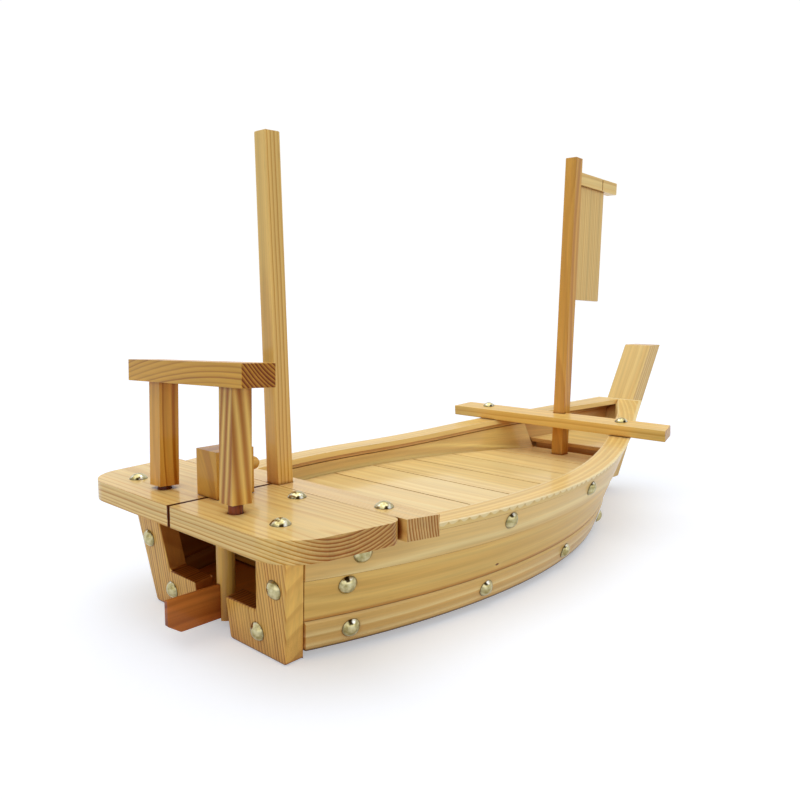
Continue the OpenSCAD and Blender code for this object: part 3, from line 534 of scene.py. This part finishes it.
def scallops(tree, place, spot, inward, wood):
    """Wood with a pale border on its outer upper edge, partly rubbed wear and partly painted highlight, in
    scallops with brown notches between them.
    """
    depth = below_sheer(tree, spot)
    scale, seed, strength = SCALLOP_JOLT
    jolt = calc(tree, "MULTIPLY_ADD", stretched_noise(tree, place, scale, seed), strength * MM, spot[0])
    turns = calc(tree, "MULTIPLY", jolt, math.pi / (SCALLOP_LENGTH * MM))
    wave = calc(tree, "ABSOLUTE", calc(tree, "SINE", turns))
    reach = calc(tree, "MULTIPLY_ADD", wave, SCALLOP_WAVE, SCALLOP_LEAST)
    scale, seed, strength = SCALLOP_UNEVEN
    reach = calc(tree, "MULTIPLY_ADD", stretched_noise(tree, place, scale, seed), strength, reach)
    outer = excess(tree, calc(tree, "MULTIPLY", inward, -1.0), OUTER_START, OUTER_GAIN)

    border = shut_in(tree, *BORDER, inside=True)
    worn_and_lit = calc(tree, "MULTIPLY", excess(tree, reach, depth, WEAR_AND_HIGHLIGHT_GAIN), border)
    worn_and_lit = calc(tree, "MULTIPLY", calc(tree, "MULTIPLY", worn_and_lit, outer), WEAR_AND_HIGHLIGHT_WEIGHT)
    wood = mixed(tree, worn_and_lit, wood, linear(WEAR_AND_HIGHLIGHT_COLOUR))

    cusp = excess(tree, NOTCH_WAVE, wave, NOTCH_GAIN)
    away = calc(tree, "ABSOLUTE", calc(tree, "SUBTRACT", depth, NOTCH_DEPTH))
    notch = calc(tree, "MULTIPLY", excess(tree, NOTCH_REACH, away, cusp), outer)
    return mixed(tree, calc(tree, "MULTIPLY", notch, NOTCH_WEIGHT), wood, linear(NOTCH_COLOUR))


def kerf_shade_border(tree, place, spot, wood):
    """Wood with a ragged dark border of painted shade along the saw kerf in the middle of the boat, which
    makes the kerf look wider.
    """
    scale, seed, strength = KERF_RAGGED
    noise = stretched_noise(tree, place, scale, seed)
    reach = calc(tree, "MULTIPLY_ADD", noise, strength * MM, KERF_REACH * MM)
    share = excess(tree, reach, calc(tree, "ABSOLUTE", spot[1]), 1 / (KERF_SOFT * MM))
    return mixed(tree, share, wood, linear(KERF_SHADE_COLOUR))


def painted_face_shade(tree, towards, wood, ways, tint):
    """Wood with painted shade on the faces that point one of the given ways."""
    most = -1.0
    for way in ways:
        most = calc(tree, "MAXIMUM", most, towards[way])
    share = calc(tree, "MULTIPLY", excess(tree, most, FACE_SHADE_START, FACE_SHADE_GAIN), FACE_SHADE_WEIGHT)
    return tinted(tree, share, wood, tint)


def laid_straight(tree, spot):
    """A place on a plank of either side, with the hull's curve taken out."""
    bend = calc(tree, "DIVIDE", squared(tree, spot[0]), 2 * PLANK_RADIUS)
    side = calc(tree, "ADD", calc(tree, "ABSOLUTE", spot[1]), bend)
    return joined(tree, spot[0], side, spot[2])


def pine(name, low, high, seed):
    """Varnished pine for one board between the low and high corners of its box."""
    grain, heart, ring, tone, contrast = of_board(BOARDS, name)
    early, late = TONES[tone]
    material, tree, shader = new_material("pine_" + name)
    coordinates = add(tree, "ShaderNodeTexCoord").outputs
    place, normal = coordinates["Object"], coordinates["Normal"]
    spot = parts(tree, place)
    facing = parts(tree, normal)

    # The board in its log
    along = Vector(GRAIN[grain])
    turn = along.to_track_quat("X", "Z").to_euler()
    across = calc(tree, "ABSOLUTE", vector_calc(tree, "DOT_PRODUCT", normal, along))
    end = calc(tree, "POWER", across, END_POWER)
    centre = (low + high) / 2
    laid = place
    if grain == "plank":
        centre = Vector((0, PLANK_SIDE, centre.z))
        laid = laid_straight(tree, spot)
        end = calc(tree, "MULTIPLY", end, PLANK_END)
    to_log = {"Vector": laid, "Location": centre + Vector(heart) * MM, "Rotation": turn}
    in_log = add(tree, "ShaderNodeMapping", to_log, vector_type="TEXTURE").outputs[0]
    turned = {"Vector": normal, "Rotation": turn}
    face = add(tree, "ShaderNodeMapping", turned, vector_type="TEXTURE").outputs[0]
    in_room = calc(tree, "LESS_THAN", spot[0], ROOM_FORE * MM)
    rings = add(tree, "ShaderNodeGroup", {
        "Place": in_log, "Face": face, "End": end, "Ring": ring * MM, "Contrast": contrast, "Seed": seed,
        "Early": linear(early), "Late": linear(late),
        "Room": calc(tree, "MULTIPLY_ADD", in_room, ROOM_INSIDE - ROOM_OUTSIDE, ROOM_OUTSIDE),
        "JointShade": of_board(JOINT_DIRT_AND_SHADE_WEIGHTS, name, PLAIN_JOINT_DIRT_AND_SHADE),
        "Banded": of_board(BANDED, name, PLAIN_BAND),
        "Bow": of_board(BOWED, name, PLAIN_BOW),
        "Knot": near_knots(tree, spot, KNOTS.get(name, ())),
    }, node_tree=bpy.data.node_groups["pine_rings"]).outputs

    # Painted shade at lower edges, along the deck's kerf and on faces that lie in shade, and the gunwale's
    # border of wear and painted highlight
    wood = rings["Color"]
    foot_shade = of_board(FOOT_SHADE, name)
    if foot_shade:
        width, colour, weight = foot_shade
        height = calc(tree, "DIVIDE", calc(tree, "SUBTRACT", spot[2], low.z), width * MM)
        share = calc(tree, "MULTIPLY", excess(tree, 1.0, height, FOOT_SHADE_FADE), weight)
        wood = mixed(tree, share, wood, linear(colour))
    if name.startswith("deck"):
        wood = kerf_shade_border(tree, place, spot, wood)
    inward = calc(tree, "MULTIPLY", calc(tree, "MULTIPLY", facing[1], calc(tree, "SIGN", spot[1])), -1.0)
    towards = {"up": facing[2], "aft": calc(tree, "MULTIPLY", facing[0], -1.0), "in": inward,
               "room": calc(tree, "MULTIPLY", inward, in_room)}
    for ways, tint in of_board(FACE_SHADE, name, ()):
        wood = painted_face_shade(tree, towards, wood, ways, tint)
    if name.startswith("gunwale_cap"):
        wood = scallops(tree, place, spot, inward, wood)

    relief = {"Strength": RELIEF_STRENGTH, "Distance": RELIEF_DEPTH, "Height": rings["Height"]}
    give(tree, shader, {
        "Base Color": wood,
        "Roughness": rings["Roughness"],
        "Normal": add(tree, "ShaderNodeBump", relief).outputs[0],
        "IOR": WOOD_IOR,
        "Specular IOR Level": WOOD_SPECULAR,
        "Coat Weight": of_board(VARNISH, name, PLAIN_VARNISH),
        "Coat Roughness": VARNISH_ROUGH,
    })
    return material


def brass():
    """Polished dome nails with a dull film in blotches, painted highlights and reflections as spots by the
    way the surface faces, and darker round the rim, partly dirt and partly painted shade.
    """
    material, tree, shader = new_material("brass")
    coordinates = add(tree, "ShaderNodeTexCoord").outputs
    place, normal = coordinates["Object"], coordinates["Normal"]
    scale, seed, strength = FILM
    noise = stretched_noise(tree, place, scale, seed)
    film = calc(tree, "MULTIPLY_ADD", noise, strength, FILM_MIDDLE, clamp=True)
    metal = mixed(tree, film, linear(DULL), linear(BRIGHT))

    outward = parts(tree, normal)
    facings = {"plain": normal,
               "mirrored": joined(tree, outward[0], calc(tree, "ABSOLUTE", outward[1]), outward[2])}
    scale, seed, strength = SPECKLE
    speckle = calc(tree, "MULTIPLY", stretched_noise(tree, place, scale, seed), strength)
    for facing, direction, width, colour in NAIL_PAINTED_SPOTS:
        toward = vector_calc(tree, "DOT_PRODUCT", facings[facing], Vector(direction).normalized())
        share = excess(tree, calc(tree, "ADD", toward, speckle), width, PAINTED_SPOT_GAIN)
        metal = mixed(tree, share, metal, linear(colour))

    rim_dirt_and_shade = shut_in(tree, *RIM_DIRT_AND_SHADE)
    rough = calc(tree, "MULTIPLY_ADD", film, FILM_ROUGH, BRASS_ROUGH)
    rough = calc(tree, "MULTIPLY_ADD", rim_dirt_and_shade, DIRT_ROUGH, rough)
    metal = mixed(tree, rim_dirt_and_shade, metal, linear(DARK_DIRT_AND_SHADE))
    give(tree, shader, {"Base Color": metal, "Roughness": rough, "Metallic": 1.0})
    return material


def geometry_group(name, *extra):
    """A new modifier group with a geometry and extra inputs, as (tree, what it is given, output node)."""
    tree = bpy.data.node_groups.new(name, "GeometryNodeTree")
    for socket, kind in (("Geometry", "Geometry"),) + extra:
        tree.interface.new_socket(socket, in_out="INPUT", socket_type="NodeSocket" + kind)
    tree.interface.new_socket("Geometry", in_out="OUTPUT", socket_type="NodeSocketGeometry")
    return tree, tree.nodes.new("NodeGroupInput").outputs, tree.nodes.new("NodeGroupOutput")


def marked_edges(tree, geometry, name, kind, value):
    """A geometry whose edges carry a named value."""
    inputs = {"Geometry": geometry, "Name": name}
    made = add(tree, "GeometryNodeStoreNamedAttribute", inputs, data_type=kind, domain="EDGE")
    give(tree, made, {"Value": value})
    return made.outputs[0]


def weld_group():
    """Modifier group: joins the split corners of a CAD mesh and marks its sharp edges for sanding."""
    tree, given, out = geometry_group("weld", ("Side", "Vector"), ("Elsewhere", "Float"))
    split = {"Geometry": given["Geometry"], "Name": "custom_normal"}
    plain = add(tree, "GeometryNodeRemoveAttribute", split).outputs[0]
    whole = add(tree, "GeometryNodeMergeByDistance", {"Geometry": plain, "Distance": WELD_REACH}).outputs[0]
    bend = tree.nodes.new("GeometryNodeInputMeshEdgeAngle").outputs[0]
    normal = tree.nodes.new("GeometryNodeInputNormal").outputs[0]
    toward = vector_calc(tree, "DOT_PRODUCT", normal, given["Side"])
    weight = calc(tree, "MAXIMUM", calc(tree, "GREATER_THAN", toward, SIDE_TURN), given["Elsewhere"])
    sharp = calc(tree, "GREATER_THAN", bend, math.radians(BOARD_SHARP))
    weight = calc(tree, "MULTIPLY", weight, sharp)
    give(tree, out, {0: marked_edges(tree, whole, "bevel_weight_edge", "FLOAT", weight)})


def smooth_group(name, angle):
    """Modifier group: shades smooth, except over edges bent by more than an angle in degrees."""
    tree, given, out = geometry_group(name)
    bend = tree.nodes.new("GeometryNodeInputMeshEdgeAngle").outputs[0]
    limits = {0: bend, 1: math.radians(angle)}
    sharp = add(tree, "FunctionNodeCompare", limits, operation="GREATER_THAN").outputs[0]
    marked = marked_edges(tree, given["Geometry"], "sharp_edge", "BOOLEAN", sharp)
    give(tree, out, {0: add(tree, "GeometryNodeSetShadeSmooth", {"Geometry": marked}).outputs[0]})


def round_edges(piece, width, side):
    """Sands the edges of a CAD piece round, most on one side if that is given, and shades it smooth."""
    weld = piece.modifiers.new("weld", "NODES")
    weld.node_group = bpy.data.node_groups["weld"]
    if width:
        sockets = {}
        for item in weld.node_group.interface.items_tree:
            if item.in_out == "INPUT":
                sockets[item.name] = item.identifier
        weld[sockets["Side"]] = side or (0.0, 0.0, 0.0)
        weld[sockets["Elsewhere"]] = NARROW_EDGE / width
        bevel = piece.modifiers.new("edges", "BEVEL")
        bevel.width = width * MM
        bevel.segments = EDGE_SEGMENTS
        bevel.limit_method = "WEIGHT"
    smooth = piece.modifiers.new("smooth", "NODES")
    smooth.node_group = bpy.data.node_groups["smooth_board" if width else "smooth_nail"]
    weighted = piece.modifiers.new("weighted", "WEIGHTED_NORMAL")
    weighted.keep_sharp = True


def of_board(table, name, default=None):
    """The entry of a table for a node, found by its own name or by the start of it."""
    if name in table:
        return table[name]
    return next((table[key] for key in table if name.startswith(key)), default)


def finish_boards():
    """Gives every CAD node its material and its sanded edges."""
    pine_rings()
    weld_group()
    smooth_group("smooth_board", BOARD_SHARP)
    smooth_group("smooth_nail", NAIL_SHARP)
    nail_brass = brass()
    for number, name in enumerate(sorted(nodes)):
        piece = nodes[name]
        if "nails" in name:
            material = nail_brass
            round_edges(piece, 0, None)
        else:
            low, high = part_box(name)
            material = pine(name, low, high, SEED_STEP * number)
            round_edges(piece, *of_board(EDGES, name, PLAIN_EDGE))
        piece.data.materials.clear()
        piece.data.materials.append(material)


def add_camera():
    """The photograph's camera."""
    camera = bpy.data.objects.new("camera", bpy.data.cameras.new("camera"))
    bpy.context.scene.collection.objects.link(camera)
    ahead = Vector((math.cos(CAMERA_YAW), math.sin(CAMERA_YAW), 0))
    forward = ahead * math.cos(CAMERA_PITCH) - Vector((0, 0, math.sin(CAMERA_PITCH)))
    level = Vector((math.sin(CAMERA_YAW), -math.cos(CAMERA_YAW), 0))
    upright = level.cross(forward)
    right = level * math.cos(CAMERA_ROLL) + upright * math.sin(CAMERA_ROLL)
    up = upright * math.cos(CAMERA_ROLL) - level * math.sin(CAMERA_ROLL)
    turn = Matrix((right, up, -forward)).transposed().to_4x4()
    camera.matrix_world = Matrix.Translation(CAMERA_PLACE) @ turn
    camera.data.sensor_width = CAMERA_SENSOR
    camera.data.lens = CAMERA_LENS
    camera.data.clip_start = CAMERA_NEAR
    bpy.context.scene.camera = camera


def seen_directly(tree):
    """1 for what is seen by the camera, also in mirrors or through glass, and 0 for light on things."""
    path = add(tree, "ShaderNodeLightPath").outputs
    seen = calc(tree, "MAXIMUM", path["Is Camera Ray"], path["Is Glossy Ray"])
    return calc(tree, "MAXIMUM", seen, path["Is Transmission Ray"])


def add_light():
    """A white background that is weaker as a light, and soft lamps."""
    world = bpy.data.worlds.new("studio")
    bpy.context.scene.world = world
    world.use_nodes = True
    tree = world.node_tree
    levels = {"Value": seen_directly(tree), "To Min": WORLD_LIGHT, "To Max": WORLD_SEEN}
    level = add(tree, "ShaderNodeMapRange", levels).outputs[0]
    give(tree, tree.nodes["Background"], {"Color": WHITE, "Strength": level})
    for name, (strength, spread, place) in LAMPS.items():
        lamp = bpy.data.objects.new(name, bpy.data.lights.new(name, "SUN"))
        lamp.data.energy = strength
        lamp.data.angle = spread
        lamp.rotation_euler = Vector(place).to_track_quat("Z", "Y").to_euler()
        bpy.context.scene.collection.objects.link(lamp)


def add_floor():
    """A plain white floor."""
    mesh = bpy.data.meshes.new("floor")
    corners = [(x * FLOOR_REACH, y * FLOOR_REACH, 0) for x, y in ((-1, -1), (1, -1), (1, 1), (-1, 1))]
    mesh.from_pydata(corners, [], [(0, 1, 2, 3)])
    floor = bpy.data.objects.new("floor", mesh)
    floor.location.z = -FLOOR_DROP
    bpy.context.scene.collection.objects.link(floor)
    material, tree, shader = new_material("floor")
    glow = calc(tree, "MULTIPLY", seen_directly(tree), FLOOR_GLOW)
    give(tree, shader, {
        "Base Color": FLOOR_COLOUR, "Roughness": FLOOR_ROUGH, "Specular IOR Level": 0.0,
        "Emission Color": WHITE, "Emission Strength": glow,
    })
    mesh.materials.append(material)


finish_boards()
add_camera()
add_light()
add_floor()
bpy.context.scene.view_settings.view_transform = "Standard"
